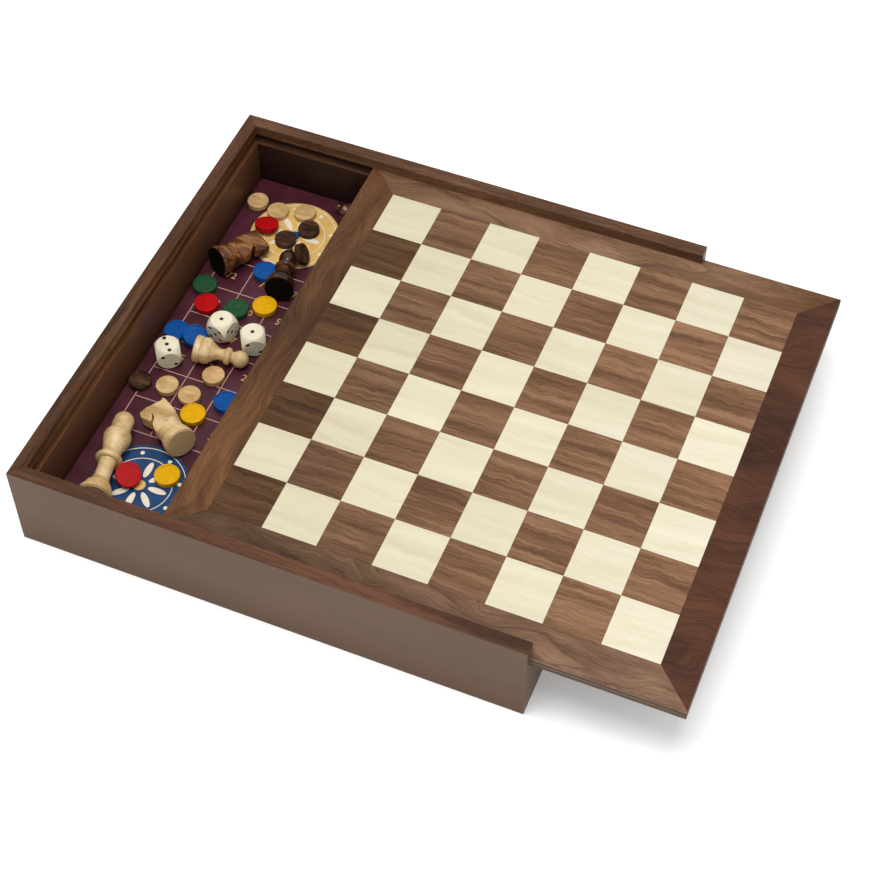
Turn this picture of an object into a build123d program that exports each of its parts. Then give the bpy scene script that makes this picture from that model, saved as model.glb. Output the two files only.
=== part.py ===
from build123d import *

import os
from math import atan, cos, radians, sin
from typing import NamedTuple

# Games compendium box: a shallow wooden box whose lid is a chessboard that slides out along +X.
# Millimetres, +Z up. The origin is the centre of the box's underside.

# ---------------------------------------------------------------------------
# Driving dimensions
# ---------------------------------------------------------------------------

# Chessboard lid
squares_per_side = 8
square_side = 35.0
border_width = 23.0
veneer_thickness = 0.6
veneer_joint = 0.1            # glue line between neighbouring squares
field_thickness = 2.4         # panel that carries the veneers, framed by the border
core_thickness = 4.6
backing_thickness = 0.8
border_round = 1.6            # rounding of the border's outer top edge
lid_opening = 92.0            # how far the lid stands open at rest

# Box
well_depth = 32.5             # from the uppermost game board to the floor of the lid's groove
wall_thickness = 9.0
lip_height = 7.6              # wall left standing above the lid's groove
groove_depth = 5.3
lid_tongue = 5.0              # how far the lid's edges stand in the grooves
lid_gap_below = 0.1
lid_gap_above = 0.4
arris_radius = 0.7            # eased long edges of the walls
base_thickness = 5.0
base_rebate = 4.0             # how far the base panel reaches under the walls
base_gap = 0.1                # between the base panel and its rebate

# Game boards lying in the box
game_board_names = ("lower", "middle", "upper")
game_board_thickness = 3.7
printed_sheet_thickness = 0.3
game_board_gap = 1.0          # between a game board and the walls

# Flat men
counter_radius = 8.2
counter_thickness = 4.0
counter_rim_width = 1.3
counter_recess = 0.4
draught_radius = 7.4
draught_thickness = 4.0
disc_edge_radius = 0.6

# Dice
die_side = 16.0
die_ball_radius = 10.7        # ball that rounds the cube's corners off
pip_radius = 1.35
pip_depth = 0.4
pip_spacing = 3.9

# Loose pieces
rest_gap = 0.2                # between a loose piece and what it lies on
pad_thickness = 0.8
pad_inset = 0.7               # from the foot's rim to the felt pad's rim

# ---------------------------------------------------------------------------
# Sizes and places worked out from them
# ---------------------------------------------------------------------------

playing_side = squares_per_side * square_side
lid_side = playing_side + 2 * border_width
border_thickness = field_thickness + veneer_thickness
lid_thickness = backing_thickness + core_thickness + border_thickness

inner_width = lid_side - 2 * lid_tongue
box_width = inner_width + 2 * wall_thickness
box_length = lid_side - lid_tongue + wall_thickness
inner_length = box_length - 2 * wall_thickness

layer_height = game_board_thickness + printed_sheet_thickness
floor_level = base_thickness + len(game_board_names) * layer_height
lying_level = floor_level + rest_gap

groove_height = lid_gap_below + lid_thickness + lid_gap_above
groove_floor = floor_level + well_depth
box_height = groove_floor + groove_height + lip_height

lid_bottom = groove_floor + lid_gap_below
core_bottom = lid_bottom + backing_thickness
field_bottom = core_bottom + core_thickness
veneer_bottom = field_bottom + field_thickness
lid_left = -inner_length / 2 - lid_tongue + lid_opening
lid_x = lid_left + lid_side / 2


def export(piece, name):
    """Label a finished piece and write its STEP file."""
    piece.part.label = name
    export_step(piece.part, f"parts/{name}.step")


os.makedirs("parts", exist_ok=True)

# ---------------------------------------------------------------------------
# Box walls
# ---------------------------------------------------------------------------

outer_x, outer_y = box_length / 2, box_width / 2
inner_x, inner_y = inner_length / 2, inner_width / 2


def cut_lid_groove():
    """Plough the lid's groove: the lid's whole path, as deep as the grooves go."""
    groove_length = box_length - wall_thickness + groove_depth
    with BuildSketch(Plane.XY.offset(groove_floor)) as lid_path:
        with Locations((outer_x - groove_length / 2, 0)):
            Rectangle(groove_length, inner_width + 2 * groove_depth)
    extrude(lid_path.sketch, amount=groove_height, mode=Mode.SUBTRACT)


def cut_base_rebate():
    """Cut the rebate round the underside that the base panel is glued into."""
    with BuildSketch(Plane.XY) as recess:
        Rectangle(inner_length + 2 * base_rebate, inner_width + 2 * base_rebate)
    extrude(recess.sketch, amount=base_thickness, mode=Mode.SUBTRACT)


def ease_top(part, along):
    """Ease the two long top edges of a wall."""
    fillet(part.edges().filter_by(along).group_by(Axis.Z)[-1], arris_radius)


# The long walls run the box's full length. Their left ends are mitred to the left wall.
for name, side in (("front_wall", -1), ("back_wall", 1)):
    with BuildPart() as long_wall:
        with BuildSketch(Plane.XY):
            with BuildLine():
                Polyline(
                    (-outer_x, side * outer_y),
                    (outer_x, side * outer_y),
                    (outer_x, side * inner_y),
                    (-inner_x, side * inner_y),
                    close=True,
                )
            make_face()
        extrude(amount=box_height)
        ease_top(long_wall, Axis.X)
        cut_lid_groove()
        cut_base_rebate()
    export(long_wall, name)

with BuildPart() as left_wall:
    with BuildSketch(Plane.XY):
        with BuildLine():
            Polyline(
                (-outer_x, -outer_y),
                (-inner_x, -inner_y),
                (-inner_x, inner_y),
                (-outer_x, outer_y),
                close=True,
            )
        make_face()
    extrude(amount=box_height)
    ease_top(left_wall, Axis.Y)
    cut_lid_groove()
    cut_base_rebate()
export(left_wall, "left_wall")

# The right wall stops at the groove floor, so that the lid passes over it.
with BuildPart() as right_wall:
    with BuildSketch(Plane.XY):
        with Locations((outer_x - wall_thickness / 2, 0)):
            Rectangle(wall_thickness, inner_width)
    extrude(amount=groove_floor)
    cut_base_rebate()
export(right_wall, "right_wall")

with BuildPart() as base_panel:
    with BuildSketch(Plane.XY):
        Rectangle(
            inner_length + 2 * (base_rebate - base_gap),
            inner_width + 2 * (base_rebate - base_gap),
        )
    extrude(amount=base_thickness)
export(base_panel, "base_panel")

# ---------------------------------------------------------------------------
# Game boards, stacked on the base panel, each with a printed sheet on top
# ---------------------------------------------------------------------------

for layer, name in enumerate(game_board_names):
    board_bottom = base_thickness + layer * layer_height
    with BuildPart() as game_board:
        with BuildSketch(Plane.XY.offset(board_bottom)):
            Rectangle(inner_length - 2 * game_board_gap, inner_width - 2 * game_board_gap)
        extrude(amount=game_board_thickness)
    export(game_board, f"game_board_{name}")
    with BuildPart() as printed_sheet:
        with BuildSketch(Plane.XY.offset(board_bottom + game_board_thickness)):
            Rectangle(inner_length - 2 * game_board_gap, inner_width - 2 * game_board_gap)
        extrude(amount=printed_sheet_thickness)
    export(printed_sheet, f"printed_sheet_{name}")

# ---------------------------------------------------------------------------
# Lid
# ---------------------------------------------------------------------------


def lid_plane(height):
    """The lid's plan plane at a height, centred on the board."""
    return Plane((lid_x, 0, height))


with BuildPart() as lid_backing:
    with BuildSketch(lid_plane(lid_bottom)):
        Rectangle(lid_side, lid_side)
    extrude(amount=backing_thickness)
export(lid_backing, "lid_backing")

with BuildPart() as lid_core:
    with BuildSketch(lid_plane(core_bottom)):
        Rectangle(lid_side, lid_side)
    extrude(amount=core_thickness)
export(lid_core, "lid_core")

with BuildPart() as field_panel:
    with BuildSketch(lid_plane(field_bottom)):
        Rectangle(playing_side, playing_side)
    extrude(amount=field_thickness)
export(field_panel, "field_panel")

# Four mitred strips frame the field. Each is drawn as the front one and turned about the board's centre.
for name, turn in (("front", 0), ("right", 90), ("back", 180), ("left", 270)):
    strip_plane = lid_plane(field_bottom).rotated((0, 0, turn))
    with BuildPart() as border_strip:
        with BuildSketch(strip_plane):
            with BuildLine():
                Polyline(
                    (-lid_side / 2, -lid_side / 2),
                    (lid_side / 2, -lid_side / 2),
                    (playing_side / 2, -playing_side / 2),
                    (-playing_side / 2, -playing_side / 2),
                    close=True,
                )
            make_face()
        extrude(amount=border_thickness)
        top_edges = border_strip.faces().sort_by(Axis.Z)[-1].edges()
        fillet(top_edges.sort_by(SortBy.LENGTH)[-1], border_round)
    export(border_strip, f"border_{name}")

# Marquetry: the back left square is light, and the colours alternate from there.
for name, parity in (("light_squares", 1), ("dark_squares", 0)):
    with BuildPart() as veneers:
        with BuildSketch(lid_plane(veneer_bottom)):
            grid = GridLocations(square_side, square_side, squares_per_side, squares_per_side)
            for index, place in enumerate(grid.local_locations):
                column, row = divmod(index, squares_per_side)
                if (column + row) % 2 == parity:
                    with Locations(place):
                        Rectangle(square_side - veneer_joint, square_side - veneer_joint)
        extrude(amount=veneer_thickness)
    export(veneers, name)

# ---------------------------------------------------------------------------
# Places inside the box
# ---------------------------------------------------------------------------


def inside(from_left, from_front):
    """A point in plan, measured from the inner faces of the left and front walls."""
    return from_left - inner_x, from_front - inner_y


def flat_plane(spot, level=lying_level):
    """A level plane over a spot on the floor."""
    x, y = inside(*spot)
    return Plane((x, y, level))


def leaning_plane(spot, uphill, slope, radius):
    """Plane of a disc's underside, its lowest rim on the floor and its rim raised towards uphill."""
    x, y = inside(*spot)
    rise, run = sin(radians(slope)), cos(radians(slope))
    east, north = cos(radians(uphill)), sin(radians(uphill))
    return Plane(
        origin=(x, y, lying_level + radius * rise),
        x_dir=(run * east, run * north, rise),
        z_dir=(-rise * east, -rise * north, run),
    )


def flat_rows(from_left, from_front, pitch, count):
    """Spots of a row that runs along Y."""
    return [(from_left, from_front + pitch * index) for index in range(count)]


# Rows laid away under the lid, counted from the right wall and the front wall
officer_row = flat_rows(inner_length - 5.0, 24.0, 24.4, 12)
pawn_row = flat_rows(officer_row[0][0] - 72.0, 22.0, 20.5, 14)
stack_row = flat_rows(pawn_row[0][0] - 54.0, 40.0, 30.0, 8)

# ---------------------------------------------------------------------------
# Draughts, ludo counters and dice
# ---------------------------------------------------------------------------


def turned_disc(plane, radius, thickness, hollow_radius=0.0, hollow_depth=0.0):
    """A disc with rounded rims, turned about the plane's normal, hollowed on top if asked for."""
    section = Plane(plane.origin, x_dir=plane.x_dir, z_dir=-plane.y_dir)
    with BuildSketch(section) as half:
        Rectangle(radius, thickness, align=(Align.MIN, Align.MIN))
        fillet(half.vertices().group_by(Axis.X)[-1], disc_edge_radius)
        if hollow_depth:
            with Locations((0, thickness)):
                Rectangle(hollow_radius, hollow_depth, align=(Align.MIN, Align.MAX), mode=Mode.SUBTRACT)
    revolve(half.sketch, axis=Axis(plane.origin, plane.z_dir))


def draught(plane):
    """A plain turned disc."""
    turned_disc(plane, draught_radius, draught_thickness)


def counter(plane):
    """A moulded disc with a raised rim on its upper face."""
    turned_disc(plane, counter_radius, counter_thickness, counter_radius - counter_rim_width, counter_recess)


light_draught_spots = ((10, 291), (26.8, 287.6), (45, 293), (27, 119), (51, 137.5), (44, 117))
dark_draught_spots = ((53.8, 280), (9, 116), (42.9, 265.5))
leaning_draughts = (((59.6, 252.4), 195, 64),)    # spot, uphill heading and slope
draught_sets = (
    ("light_draughts", light_draught_spots, (), stack_row[0:2], 3),
    ("dark_draughts", dark_draught_spots, leaning_draughts, stack_row[2:4], 4),
)

for name, spots, leaning, stacks, storeys in draught_sets:
    with BuildPart() as draughts:
        for spot in spots:
            draught(flat_plane(spot))
        for spot, uphill, slope in leaning:
            draught(leaning_plane(spot, uphill, slope, draught_radius))
        for spot in stacks:
            for storey in range(storeys):
                draught(flat_plane(spot, lying_level + storey * (draught_thickness + rest_gap)))
    export(draughts, name)

# Each set has its flat counters and its leaning ones: spot, uphill heading and slope.
counter_sets = {
    "red_counters": ([(19, 192), stack_row[4]], [((26, 271), -83, 15), ((38.2, 44.3), 138, 30)]),
    "yellow_counters": ([(56, 204.5), (53, 104), (60, 54.5), stack_row[5]], []),
    "green_counters": ([(10.4, 206.8), (39.5, 195), stack_row[6], stack_row[7]], []),
    "blue_counters": ([(42.8, 233), (11.2, 163.2), (68, 121)], [((24.8, 161.9), 174, 18)]),
}

for name, (flat_spots, leaning) in counter_sets.items():
    with BuildPart() as counters:
        for spot in flat_spots:
            counter(flat_plane(spot))
        for spot, uphill, slope in leaning:
            counter(leaning_plane(spot, uphill, slope, counter_radius))
    export(counters, name)

# Each die has a spot, a turn in plan, and the pip counts of its top, front and right faces.
dice_throws = (((17.3, 140.5), 34, (3, 2, 6)), ((40.5, 173.3), 79, (1, 3, 2)), ((64, 171), 30, (1, 2, 3)))
pip_patterns = {
    1: ((0, 0),),
    2: ((-1, 1), (1, -1)),
    3: ((-1, 1), (0, 0), (1, -1)),
    4: ((-1, -1), (-1, 1), (1, -1), (1, 1)),
    5: ((-1, -1), (-1, 1), (0, 0), (1, -1), (1, 1)),
    6: ((-1, -1), (-1, 0), (-1, 1), (1, -1), (1, 0), (1, 1)),
}


def die_frame(spot, turn):
    """A die's own frame, centred in the cube, in its turned place on the floor."""
    x, y = inside(*spot)
    return Plane((x, y, lying_level + die_side / 2), x_dir=(cos(radians(turn)), sin(radians(turn)), 0))


def die_faces(frame, shown):
    """Each face's plane with its pip count. Opposite faces add up to seven."""
    axes = (frame.z_dir, -frame.y_dir, frame.x_dir)
    for axis, pips in zip(axes, shown):
        for direction, count in ((axis, pips), (-axis, 7 - pips)):
            yield Plane(frame.origin + direction * die_side / 2, z_dir=direction), count


with BuildPart() as dice:
    for spot, turn, shown in dice_throws:
        frame = die_frame(spot, turn)
        with Locations(frame):
            add(Solid.make_box(die_side, die_side, die_side, Plane((-die_side / 2,) * 3)) &
                Solid.make_sphere(die_ball_radius, angle1=-90, angle2=90, angle3=360))
        for face, count in die_faces(frame, shown):
            with BuildSketch(face):
                with Locations(*[(pip_spacing * u, pip_spacing * v) for u, v in pip_patterns[count]]):
                    Circle(pip_radius)
            extrude(amount=-pip_depth, mode=Mode.SUBTRACT)
export(dice, "dice")

with BuildPart() as dice_pips:
    for spot, turn, shown in dice_throws:
        for face, count in die_faces(die_frame(spot, turn), shown):
            with BuildSketch(face.offset(-pip_depth)):
                with Locations(*[(pip_spacing * u, pip_spacing * v) for u, v in pip_patterns[count]]):
                    Circle(pip_radius)
            extrude(amount=pip_depth / 2)
export(dice_pips, "dice_pips")

# ---------------------------------------------------------------------------
# Chessmen
# ---------------------------------------------------------------------------


class Man(NamedTuple):
    """Sizes of one kind of chessman; heights are measured from the foot's underside."""

    height: float
    foot: float            # radius of the foot
    ring: float            # radius of the bead over the foot
    rim_height: float
    ring_height: float     # top of the bead
    waist: float           # narrowest radius of the stem
    waist_height: float
    collar: float          # radius of the collar
    collar_height: float   # underside of the collar
    collar_thickness: float
    belly: float           # largest radius above the collar
    belly_height: float


men = {
    "king": Man(67, 10.8, 8.9, 2.4, 8.5, 5.3, 26, 8.6, 27, 4.2, 8.9, 46),
    "queen": Man(58, 10.4, 8.9, 2.4, 8.0, 4.6, 23, 7.9, 24, 3.8, 7.2, 47),
    "bishop": Man(43, 10.2, 9.4, 2.6, 8.5, 4.8, 17, 7.2, 19.5, 3.6, 6.2, 31),
    "knight": Man(38.5, 10.4, 9.9, 3.2, 8.0, 8.5, 10, 9.0, 14, 0, 5.0, 38.5),
    "rook": Man(36, 9.6, 8.8, 2.8, 8.0, 5.6, 19, 7.6, 21, 3.0, 7.4, 33),
    "pawn": Man(35.4, 9.0, 8.9, 3.4, 10.0, 3.8, 16.5, 5.9, 19.0, 5.0, 5.8, 29.6),
}


def lying_slope(man):
    """How far a lying man's axis dips, and the radius and height of the lower part that it rests on."""
    supports = (
        (man.foot, man.rim_height),
        (man.ring, (man.rim_height + man.ring_height) / 2),
    )

    def dip(support):
        radius, height = support
        return atan((radius - man.belly) / (man.belly_height - height))

    support = max(supports, key=dip)
    return dip(support), *support


def lying_man(man, spot, heading):
    """Plane of a lying man: origin at the foot's centre, Y along its axis and Z upwards."""
    x, y = inside(*spot)
    slope, radius, reach = lying_slope(man)
    east, north = cos(radians(heading)), sin(radians(heading))
    axis = Vector(east * cos(slope), north * cos(slope), -sin(slope))
    upward = Vector(east * sin(slope), north * sin(slope), cos(slope))
    foot_height = lying_level + radius * cos(slope) + reach * sin(slope)
    return Plane((x, y, foot_height), x_dir=axis.cross(upward), z_dir=upward)


def lower_outline(man):
    """Foot, bead, stem and collar of a turned man. Returns where the collar ends."""
    foot = Line((0, 0), (man.foot, 0))
    rim = Line(foot @ 1, (man.foot, man.rim_height))
    bead_start = (man.ring - 0.8, man.rim_height + 0.3)
    step = Line(rim @ 1, bead_start)
    bead_end = (man.ring - 1.3, man.ring_height)
    bead_mid = (man.ring, (man.rim_height + man.ring_height) / 2)
    bead = ThreePointArc(step @ 1, bead_mid, bead_end)
    ledge = Line(bead @ 1, (man.ring - 1.9, man.ring_height + 0.4))
    stem = Spline(
        ledge @ 1,
        (man.waist, man.waist_height),
        tangents=((-1, 1.6), (0, 1)),
        tangent_scalars=(1.0, 1.0),
    )
    under = Line(stem @ 1, (man.waist + 0.4, man.collar_height))
    shelf = Line(under @ 1, (man.collar - man.collar_thickness * 0.35, man.collar_height))
    collar_top = (man.collar - man.collar_thickness * 0.45, man.collar_height + man.collar_thickness)
    edge = ThreePointArc(
        shelf @ 1, (man.collar, man.collar_height + man.collar_thickness / 2), collar_top
    )
    return edge @ 1


def close_outline(last):
    """Run the outline from its last point on the axis down to the foot's centre."""
    Line(last, (0, 0))


def ball_point(radius, centre_height, elevation):
    """A point on the outline of a ball that is centred on the axis."""
    return radius * cos(radians(elevation)), centre_height + radius * sin(radians(elevation))


def ball_head(man, start):
    """A ball on a short neck, for a pawn."""
    neck = Line(start, ball_point(man.belly, man.belly_height, -45))
    ball = ThreePointArc(neck @ 1, (man.belly, man.belly_height), (0, man.belly_height + man.belly))
    return ball @ 1


def mitre_head(man, start):
    """A bishop's mitre: an egg on a flared neck, with a small knob."""
    neck = Line(start, (man.belly * 0.62, man.collar_height + man.collar_thickness + 1.5))
    knob = 1.7
    knob_height = man.height - knob
    lower_egg = Spline(neck @ 1, (man.belly, man.belly_height), tangents=((1, 1.6), (0, 1)))
    upper_egg = Spline(
        lower_egg @ 1, ball_point(knob, knob_height, -45), tangents=((0, 1), (-1, 1.1))
    )
    tip = ThreePointArc(upper_egg @ 1, (knob, knob_height), (0, man.height))
    return tip @ 1


def crown_head(man, start):
    """A king's bell-shaped crown with a thick rounded tongue over it."""
    neck_height = man.collar_height + man.collar_thickness + 4.0
    tongue = man.belly * 0.74
    neck = Spline(start, (man.belly * 0.68, neck_height), tangents=((-1, 1.5), (0, 1)))
    bell = Spline(neck @ 1, (man.belly, man.belly_height), tangents=((0.25, 1), (0.1, 1)))
    shoulder = ThreePointArc(
        bell @ 1,
        (man.belly * 0.93, man.belly_height + 3.6),
        (tongue * 0.96, man.belly_height + 6.0),
    )
    side = Spline(
        shoulder @ 1,
        (tongue, man.height - tongue),
        tangents=((0.1, 1), (0, 1)),
    )
    dome = ThreePointArc(side @ 1, ball_point(tongue, man.height - tongue, 45), (0, man.height))
    return dome @ 1


def coronet_head(man, start):
    """A queen's flared coronet with a hollow rim and a ball in it."""
    neck_height = man.collar_height + man.collar_thickness + 3.5
    ball = 2.9
    neck = Spline(start, (man.belly * 0.62, neck_height), tangents=((-1, 1.5), (0, 1)))
    flare = Spline(neck @ 1, (man.belly, man.belly_height), tangents=((0.05, 1), (0.7, 1)))
    rim = Line(flare @ 1, (man.belly - 1.4, man.belly_height + 1.6))
    dish = Line(rim @ 1, ball_point(ball, man.height - ball, -37))
    knob = ThreePointArc(dish @ 1, (ball, man.height - ball), (0, man.height))
    return knob @ 1


def tower_head(man, start):
    """A rook's tower: a drum with a hollow top."""
    wall_inside = man.belly - 2.6
    neck = Line(start, (man.belly - 1.6, man.collar_height + man.collar_thickness + 1.0))
    drum_bottom = Line(neck @ 1, (man.belly, man.collar_height + man.collar_thickness + 2.6))
    drum = Line(drum_bottom @ 1, (man.belly, man.height))
    parapet = Line(drum @ 1, (wall_inside, man.height))
    well = Line(parapet @ 1, (wall_inside, man.height - 3.0))
    well_floor = Line(well @ 1, (0, man.height - 3.0))
    return well_floor @ 1


def turned_man(man, plane, head):
    """Turn a man about its own axis."""
    with BuildSketch(plane) as half:
        with BuildLine():
            collar_end = lower_outline(man)
            close_outline(head(man, collar_end))
        make_face()
    revolve(half.sketch, axis=Axis(plane.origin, plane.y_dir))


def rook_slots(man, plane):
    """Cut the two crossed slots that make a rook's battlements."""
    slot_width, slot_depth = 2.6, 2.4
    top = Plane(plane.origin + plane.y_dir * man.height, x_dir=plane.x_dir, z_dir=plane.y_dir)
    with BuildSketch(top) as slots:
        Rectangle(4 * man.belly, slot_width)
        Rectangle(slot_width, 4 * man.belly)
    extrude(slots.sketch, amount=-slot_depth, mode=Mode.SUBTRACT)


def knight_drum(man, plane):
    """The turned lower part of a knight: foot, bead and a plain drum."""
    with BuildSketch(plane) as half:
        with BuildLine():
            foot = Line((0, 0), (man.foot, 0))
            rim = Line(foot @ 1, (man.foot, man.rim_height))
            step = Line(rim @ 1, (man.ring - 0.8, man.rim_height + 0.3))
            bead = ThreePointArc(
                step @ 1,
                (man.ring, (man.rim_height + man.ring_height) / 2),
                (man.ring - 1.0, man.ring_height),
            )
            drum = Line(bead @ 1, (man.waist, man.collar_height))
            shoulder = Line(drum @ 1, (0, man.collar_height))
            Line(shoulder @ 1, foot @ 0)
        make_face()
    revolve(half.sketch, axis=Axis(plane.origin, plane.y_dir))


def knight_side_view(man, facing):
    """Outline of a knight's head from the side: nape, ears, brow, muzzle, jaw and chest."""
    neck_foot = (man.waist * 0.8, man.rim_height)
    with BuildSketch() as side_view:
        with BuildLine():
            nape = Spline((-man.waist, man.collar_height), (-9.3, 23.0), (-9.7, 35.3))
            ears = Polyline(nape @ 1, (-9.1, man.height), (-7.0, 36.8), (8.4, 37.2))
            muzzle = ThreePointArc(ears @ 1, (9.5, 34.4), (9.0, 31.3))
            jaw = Polyline(muzzle @ 1, (7.1, 25.9), (5.2, 26.6), (3.1, 30.7), (3.9, 26.0), (7.0, 22.9))
            chest = ThreePointArc(jaw @ 1, (8.5, 18.0), (man.waist, man.collar_height))
            Polyline(chest @ 1, neck_foot, (-neck_foot[0], neck_foot[1]), nape @ 0)
        make_face()
        if facing < 0:
            mirror(about=Plane.YZ, mode=Mode.REPLACE)
    return side_view.sketch


def knight_front_view(man):
    """Outline of a knight's head from the front: cheeks that slope in from the drum to the brow."""
    with BuildSketch() as front_view:
        with BuildLine():
            cheek = Polyline(
                (man.ring, man.rim_height),
                (man.ring, man.collar_height - 3.0),
                (man.belly + 1.0, 21.5),
                (man.belly, man.height + 1.0),
            )
            far_cheek = Polyline(*[(-point.X, point.Y) for point in reversed(cheek.vertices())])
            Line(cheek @ 1, far_cheek @ 0)
            Line(far_cheek @ 1, cheek @ 0)
        make_face()
    return front_view.sketch


def knight_plan(man, facing):
    """Outline of a knight's head from above: a neck that narrows to the muzzle."""
    nape_reach, muzzle_reach, muzzle_half_width = 13.0, 10.0, 2.9
    with BuildSketch() as plan:
        with BuildLine():
            cheek = Polyline(
                (-nape_reach, man.ring),
                (-2.0, man.ring),
                (0.5, man.belly + 1.3),
                (muzzle_reach, muzzle_half_width),
            )
            far_cheek = Polyline(*[(point.X, -point.Y) for point in reversed(cheek.vertices())])
            Line(cheek @ 1, far_cheek @ 0)
            Line(far_cheek @ 1, cheek @ 0)
        make_face()
        if facing < 0:
            mirror(about=Plane.YZ, mode=Mode.REPLACE)
    return plan.sketch


def knight_round(man):
    """Half outline of the round block that a knight's head is carved from."""
    brow_reach, brow_height, top = 13.0, 27.0, man.height + 1.0
    with BuildSketch() as block:
        Polygon(
            (0, man.rim_height), (man.waist, man.rim_height), (man.waist, man.collar_height),
            (brow_reach, brow_height), (brow_reach, top), (0, top),
            align=None,
        )
    return block.sketch


def knight(man, plane, facing):
    """A turned drum with a carved horse's head. facing is 1 or -1, along the plane's X."""
    knight_drum(man, plane)
    across = Plane(plane.origin, x_dir=-plane.z_dir, z_dir=plane.x_dir)
    sides = extrude(plane * knight_side_view(man, facing), amount=man.ring, both=True, mode=Mode.PRIVATE)
    front = extrude(across * knight_front_view(man), amount=man.height, both=True, mode=Mode.PRIVATE)
    block = revolve(plane * knight_round(man), axis=Axis(plane.origin, plane.y_dir), mode=Mode.PRIVATE)
    foot_up = Plane(plane.origin, x_dir=plane.x_dir, z_dir=plane.y_dir)
    plan = extrude(foot_up * knight_plan(man, facing), amount=man.height, mode=Mode.PRIVATE)
    add(sides & front & block & plan)


def pad(man, plane):
    """A felt pad under a lying man's foot."""
    with BuildSketch(Plane(plane.origin, x_dir=plane.x_dir, z_dir=-plane.y_dir)) as disc:
        Circle(man.foot - pad_inset)
    extrude(disc.sketch, amount=pad_thickness)


turned_heads = {
    "king": crown_head,
    "queen": coronet_head,
    "bishop": mitre_head,
    "rook": tower_head,
    "pawn": ball_head,
}

# Loose men lie at a spot with a heading. The rest of each set lies in the rows under the lid, its feet to the
# right. One pawn lies in the officers' row.
loose_men = {
    ("light", "king"): [((29.4, 19), 101)],
    ("light", "knight"): [((60, 75.2), 147)],
    ("light", "pawn"): [((33.5, 149), 10)],
    ("dark", "knight"): [((12.8, 222.5), 60)],
    ("dark", "bishop"): [((61.6, 215.8), 104)],
    ("dark", "queen"): [((116, 281), 155)],
}
officers_in_row = (
    ("dark", "king"), ("light", "queen"), ("dark", "bishop"), ("light", "bishop"),
    ("dark", "rook"), ("light", "knight"), ("dark", "knight"), ("light", "rook"),
    ("light", "bishop"), ("dark", "pawn"), ("light", "rook"), ("dark", "rook"),
)
pawns_in_row = tuple(("light" if index % 2 else "dark", "pawn") for index in range(len(pawn_row)))

places = {}
for key, spots in loose_men.items():
    places.setdefault(key, []).extend(spots)
for row_men, row_spots in ((officers_in_row, officer_row), (pawns_in_row, pawn_row)):
    for order, (key, spot) in enumerate(zip(row_men, row_spots)):
        sway = 2.5 * sin(2.0 * order)
        places.setdefault(key, []).append((spot, 180 + sway))

for (colour, kind), spots in places.items():
    man = men[kind]
    with BuildPart() as group:
        for spot, heading in spots:
            plane = lying_man(man, spot, heading)
            if kind == "knight":
                knight(man, plane, -1 if colour == "light" else 1)
            else:
                turned_man(man, plane, turned_heads[kind])
            if kind == "rook":
                rook_slots(man, plane)
    export(group, f"{colour}_{kind}" if len(spots) == 1 else f"{colour}_{kind}s")

for shade in ("light", "dark"):
    with BuildPart() as pads:
        for (colour, kind), spots in places.items():
            if colour == shade:
                for spot, heading in spots:
                    pad(men[kind], lying_man(men[kind], spot, heading))
    export(pads, f"{shade}_baize_pads")
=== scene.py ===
"""Looks of a games compendium box: a wooden box of games under a sliding chessboard lid."""

import logging
import math
from dataclasses import dataclass, replace
from enum import Enum
from typing import Any

import bmesh
import bpy
from mathutils import Matrix, Vector


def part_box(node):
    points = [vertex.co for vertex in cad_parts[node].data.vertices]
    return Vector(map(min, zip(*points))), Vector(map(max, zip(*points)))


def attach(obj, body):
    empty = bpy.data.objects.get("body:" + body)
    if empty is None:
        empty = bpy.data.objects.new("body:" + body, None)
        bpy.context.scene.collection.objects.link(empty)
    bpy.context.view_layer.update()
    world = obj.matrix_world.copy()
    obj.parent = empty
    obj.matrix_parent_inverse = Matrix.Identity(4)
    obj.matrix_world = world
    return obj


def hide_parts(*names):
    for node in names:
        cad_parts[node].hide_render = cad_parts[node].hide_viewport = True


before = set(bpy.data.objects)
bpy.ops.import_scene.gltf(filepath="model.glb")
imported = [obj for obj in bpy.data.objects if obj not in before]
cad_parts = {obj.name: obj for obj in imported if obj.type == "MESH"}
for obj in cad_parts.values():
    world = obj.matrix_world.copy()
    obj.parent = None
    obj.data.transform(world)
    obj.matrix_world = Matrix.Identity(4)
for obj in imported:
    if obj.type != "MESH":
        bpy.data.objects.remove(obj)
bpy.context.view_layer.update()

LOG = logging.getLogger("compendium")
MM = 0.001
# Soft noise keeps within about a sixth of its middle value, so this stretches it to 1 either way
NOISE_STRETCH = 6.0


# ---------------------------------------------------------------------------
# Finishes
# ---------------------------------------------------------------------------


def linear(code: str) -> tuple[float, float, float, float]:
    """Turn an sRGB hex colour into linear light.

    Args:
        code: a colour such as "#6b4a33".

    Returns:
        Red, green, blue and an alpha of 1.
    """
    channels = (int(code[start:start + 2], 16) / 255 for start in (1, 3, 5))
    return (*(c / 12.92 if c <= 0.04045 else ((c + 0.055) / 1.055) ** 2.4 for c in channels), 1.0)


def add_node(
    tree: bpy.types.NodeTree,
    kind: str,
    inputs: dict[str | int, Any] | None = None,
    stops: tuple[tuple[float, str], ...] = (),
    **settings: Any,
) -> bpy.types.Node:
    """Add a node with its settings, values and links.

    Args:
        tree: the node tree.
        kind: the node's type name.
        inputs: input socket to a value, or to the output socket that feeds it.
        stops: a colour ramp's positions and hex colours.
        settings: the node's own properties.

    Returns:
        The new node.
    """
    node = tree.nodes.new(kind)
    for name, value in settings.items():
        setattr(node, name, value)
    for key, value in (inputs or {}).items():
        if isinstance(value, bpy.types.NodeSocket):
            tree.links.new(value, node.inputs[key])
        else:
            node.inputs[key].default_value = value
    for index, (position, code) in enumerate(stops):
        elements = node.color_ramp.elements
        element = elements[index] if index < len(elements) else elements.new(position)
        element.position = position
        element.color = linear(code)
    return node


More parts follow.
